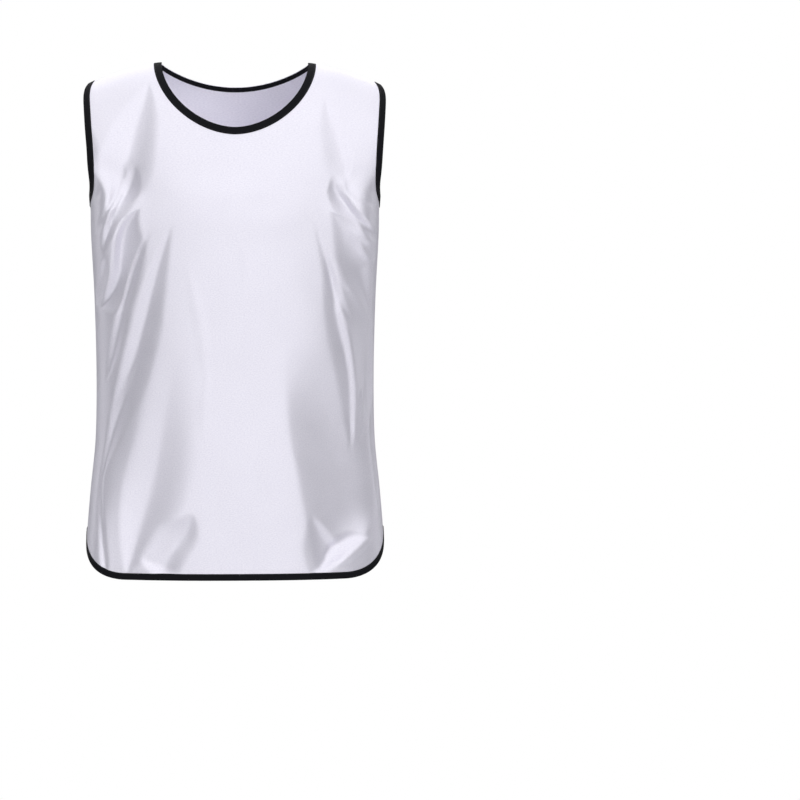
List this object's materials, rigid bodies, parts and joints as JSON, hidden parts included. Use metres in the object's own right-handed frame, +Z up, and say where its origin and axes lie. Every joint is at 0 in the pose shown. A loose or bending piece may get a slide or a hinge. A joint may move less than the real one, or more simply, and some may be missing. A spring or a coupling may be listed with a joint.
{
  "type": "training bib",
  "caption": "Sleeveless white satin training bib with dark bound neck, armholes and curved hem, worn form, hollow, open at neck, armholes and hem.",
  "frame": {"origin": "middle of the neck opening, level with the two neck points of the shoulder seams, where the wearer's shoulders carry the garment", "axes": "+Z up, -Y out of the garment's front, +X towards the wearer's left"},
  "size_m": [0.3964, 0.249, 0.6784],
  "materials": {
    "white_satin": "smooth polyester satin with a soft sheen",
    "dark_tape": "matt woven binding tape"
  },
  "bodies": {
    "root": {"front_panel": "white_satin", "back_panel": "white_satin", "neck_binding": "dark_tape", "back_neck_tape": "dark_tape", "armhole_binding_left": "dark_tape", "armhole_binding_right": "dark_tape", "hem_binding": "dark_tape"}
  },
  "joints": []
}
